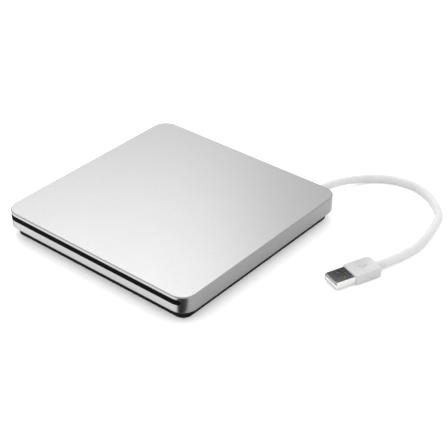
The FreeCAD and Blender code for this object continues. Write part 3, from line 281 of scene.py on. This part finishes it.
def soft_rubber(name, color):
    """Matt speckled rubber."""
    shader = Shader(name, color, 0.75)
    speckle = shader.noise(900, 3.0)
    shader.vary_color(speckle, tuple(c * 0.8 for c in color), tuple(c * 1.3 for c in color))
    shader.bump(speckle, 0.00004, 0.6)
    return shader.material


def brushed_metal(name, color, roughness=0.3, stretch=(1, 14, 14)):
    """Rolled or brushed sheet, with fine streaks along one way."""
    shader = Shader(name, color, roughness, 1.0)
    streaks = shader.noise(260, 3.0, stretch)
    cloud = shader.noise(45, 2.0)
    darker = tuple(channel * 0.88 for channel in color)
    shader.vary_color(streaks, darker, color)
    shader.vary_roughness(cloud, roughness - 0.07, roughness + 0.07)
    shader.bump(streaks, 0.000008, 0.5)
    return shader.material


def cast_metal(name, color):
    """Rough metal with the small pits of casting."""
    shader = Shader(name, color, 0.5, 1.0)
    pits = shader.noise(1100, 4.0)
    shader.vary_color(pits, tuple(c * 0.8 for c in color), color)
    shader.vary_roughness(pits, 0.42, 0.6)
    shader.bump(pits, 0.00003, 0.6)
    return shader.material


def coated_glass():
    """Clear glass with a faint blue coating."""
    shader = Shader("coated_glass", (0.86, 0.9, 1.0), 0.02)
    shader.set("Transmission Weight", 0.9)
    shader.set("IOR", 1.5)
    tint = shader.noise(500, 1.0)
    shader.vary_color(tint, (0.82, 0.88, 1.0), (0.92, 0.95, 1.0))
    return shader.material


def circuit_board():
    """Green solder mask over copper tracks."""
    shader = Shader("circuit_board", (0.02, 0.16, 0.06), 0.35)
    bricks = shader.tree.nodes.new("ShaderNodeTexBrick")
    bricks.inputs["Scale"].default_value = 220
    bricks.inputs["Mortar Size"].default_value = 0.035
    bricks.inputs["Color1"].default_value = (0.014, 0.13, 0.045, 1)
    bricks.inputs["Color2"].default_value = (0.018, 0.16, 0.06, 1)
    bricks.inputs["Mortar"].default_value = (0.05, 0.3, 0.12, 1)
    shader.wire(shader.coordinates.outputs["Object"], bricks.inputs["Vector"])
    shader.wire(bricks.outputs["Color"], shader.principled.inputs["Base Color"])
    shader.bump(bricks.outputs["Fac"], 0.00003, 0.4)
    return shader.material


def soft_cable():
    """Satin white jacket with the faint flow marks of extruded plastic."""
    shader = Shader("soft_cable", shade(WHITE_TONE), 0.5)
    shader.set("Specular IOR Level", 0.3)
    shader.set("Subsurface Weight", 0.06)
    shader.set("Subsurface Radius", (0.002, 0.002, 0.002))
    flow = shader.noise(140, 2.0)
    fine = shader.noise(2200, 2.0)
    shader.vary_color(flow, shade(WHITE_TONE * 0.97), shade(WHITE_TONE * 1.03))
    shader.bump(fine, 0.000012, 0.5)
    return shader.material


def paint_nodes():
    """Gives every CAD node the material of its slot."""
    materials = {
        "aluminium_shell": blasted_aluminium(),
        "felt": black_felt(),
        "black_plastic": moulded_plastic("black_tray_plastic", shade(TRAY_TONE), 0.7, gloss=0.08),
        "black_rubber": soft_rubber("black_rubber", shade(0.016)),
        "sheet_steel": brushed_metal("zinc_sheet", shade(0.62), 0.34),
        "bright_steel": brushed_metal("bright_steel", shade(0.72), 0.18),
        "screw_steel": brushed_metal("screw_steel", shade(0.5), 0.3),
        "bearing_brass": brushed_metal("brass", (0.8, 0.6, 0.27), 0.28),
        "core_steel": brushed_metal("laminated_steel", shade(0.28), 0.4, (1, 1, 30)),
        "copper": brushed_metal("enamelled_copper", (0.72, 0.32, 0.14), 0.3, (1, 1, 20)),
        "pickup_alloy": cast_metal("die_cast_alloy", shade(0.45)),
        "lens_glass": coated_glass(),
        "grey_plastic": moulded_plastic("grey_plastic", shade(0.3)),
        "dark_plastic": moulded_plastic("dark_plastic", shade(0.04)),
        "white_plastic": moulded_plastic("white_plastic", shade(0.72), 0.4),
        "magnet": cast_metal("nickel_magnet", shade(0.3)),
        "board_green": circuit_board(),
        "chip_black": moulded_plastic("chip_epoxy", shade(0.02), 0.6),
        "plug_white": moulded_plastic("plug_white", shade(PLUG_TONE), 0.4, 2400, 0.00001),
        "plug_steel": brushed_metal("nickel_plate", shade(0.68), 0.16),
        "gold": brushed_metal("gold_plate", (0.9, 0.66, 0.28), 0.2),
        "wire_insulation": moulded_plastic("wire_insulation", (0.5, 0.05, 0.04), 0.4),
        "white_cable": soft_cable(),
    }
    for entry in frame["record"]["subparts"]:
        mesh = nodes[entry["node"]].data
        mesh.materials.clear()
        mesh.materials.append(materials[entry["material_slot"]])
    return materials


# ---- studio ---------------------------------------------------------------------
WORLD_LIGHT = 1.4
SOFTBOX_AZIMUTH = 143.0
SOFTBOX_RISE = 52.8
SOFTBOX_DISTANCE = 2.5
SOFTBOX_SIZE = (1.22, 1.87)
SOFTBOX_RADIANCE = 3.3
GLOW_EAST = 63 * MM
GLOW_LENGTH = 300 * MM
GLOW_NEAR = -74 * MM
GLOW_DEPTH = 120 * MM
GLOW_HEIGHT = 0.5 * MM
GLOW_RADIANCE = 1.28
PAPER_HALF = 6.0
PAPER_GLOW = 0.2
PAPER_TONE = 0.82
FLAG_BLACK = 0.02
CORNER_FLAG_PLACE = (82 * MM, -94 * MM, 0.6 * MM)
CORNER_FLAG_FACING = (0, 0, 1)
CORNER_FLAG_SIZE = (36 * MM, 46 * MM)
PLUG_FLAG_PLACE = (97 * MM, 39 * MM, 20 * MM)
PLUG_FLAG_FACING = (0.53, -0.64, -0.555)
PLUG_FLAG_SIZE = (24 * MM, 20 * MM)


def make_card(name, width, depth, material):
    """A flat rectangle in the XY plane, centred on its own origin."""
    build = bmesh.new()
    corners = [(-0.5, -0.5), (0.5, -0.5), (0.5, 0.5), (-0.5, 0.5)]
    build.faces.new([build.verts.new((x * width, y * depth, 0)) for x, y in corners])
    mesh = bpy.data.meshes.new(name)
    build.to_mesh(mesh)
    build.free()
    mesh.materials.append(material)
    card = link(bpy.data.objects.new(name, mesh))
    return card


def make_floor():
    """A large sheet of white paper, faintly lit from below."""
    shader = Shader("studio_paper", shade(PAPER_TONE), 0.9)
    shader.set("Specular IOR Level", 0.0)
    shader.set("Emission Color", (1, 1, 1, 1))
    shader.set("Emission Strength", PAPER_GLOW)
    make_card("studio_floor", 2 * PAPER_HALF, 2 * PAPER_HALF, shader.material)


def make_area_light(name, width, depth, radiance):
    """A rectangular light that looks equally bright, at the given radiance, from every side."""
    data = bpy.data.lights.new(name, "AREA")
    data.shape = "RECTANGLE"
    data.size = width
    data.size_y = depth
    data.energy = radiance * math.pi * width * depth
    return link(bpy.data.objects.new(name, data))


def make_softbox():
    """The large distant light, facing the origin; its azimuth turns from +X to +Y."""
    turn = math.radians(SOFTBOX_AZIMUTH)
    rise = math.radians(SOFTBOX_RISE)
    level = SOFTBOX_DISTANCE * math.cos(rise)
    height = SOFTBOX_DISTANCE * math.sin(rise)
    place = Vector((level * math.cos(turn), level * math.sin(turn), height))
    softbox = make_area_light("softbox", *SOFTBOX_SIZE, SOFTBOX_RADIANCE)
    softbox.location = place
    softbox.rotation_mode = "QUATERNION"
    softbox.rotation_quaternion = (-place).to_track_quat("-Z", "Y")


def make_floor_glow():
    """A low light lying in front of the slot, seen only in reflections of the shell."""
    glow = make_area_light("floor_glow", GLOW_LENGTH, GLOW_DEPTH, GLOW_RADIANCE)
    glow.location = (GLOW_EAST - GLOW_LENGTH / 2, GLOW_NEAR - GLOW_DEPTH / 2, GLOW_HEIGHT)
    glow.rotation_euler = (math.pi, 0, 0)
    glow.visible_camera = False
    glow.visible_diffuse = False


def make_flag(name, place, facing, size):
    """A black card that only mirror-like surfaces see."""
    shader = Shader(name, shade(FLAG_BLACK), 1.0)
    shader.set("Specular IOR Level", 0.0)
    flag = make_card(name, *size, shader.material)
    flag.location = place
    flag.rotation_mode = "QUATERNION"
    flag.rotation_quaternion = Vector(facing).to_track_quat("Z", "Y")
    flag.visible_camera = False
    flag.visible_diffuse = False
    flag.visible_shadow = False
    flag.visible_transmission = False


def make_studio():
    """White surroundings, the two lights and the two cards."""
    world = bpy.data.worlds.new("studio")
    bpy.context.scene.world = world
    world.use_nodes = True
    background = world.node_tree.nodes["Background"]
    background.inputs["Color"].default_value = (1, 1, 1, 1)
    background.inputs["Strength"].default_value = WORLD_LIGHT
    make_softbox()
    make_floor_glow()
    make_flag("corner_flag", CORNER_FLAG_PLACE, CORNER_FLAG_FACING, CORNER_FLAG_SIZE)
    make_flag("plug_flag", PLUG_FLAG_PLACE, PLUG_FLAG_FACING, PLUG_FLAG_SIZE)
    bpy.context.scene.view_settings.view_transform = "Standard"


make_camera()
cable = make_cable()
mark = make_plug_mark()
materials = paint_nodes()
cable.data.materials.append(materials["white_cable"])
mark.data.materials.append(materials["grey_plastic"])
make_floor()
make_studio()
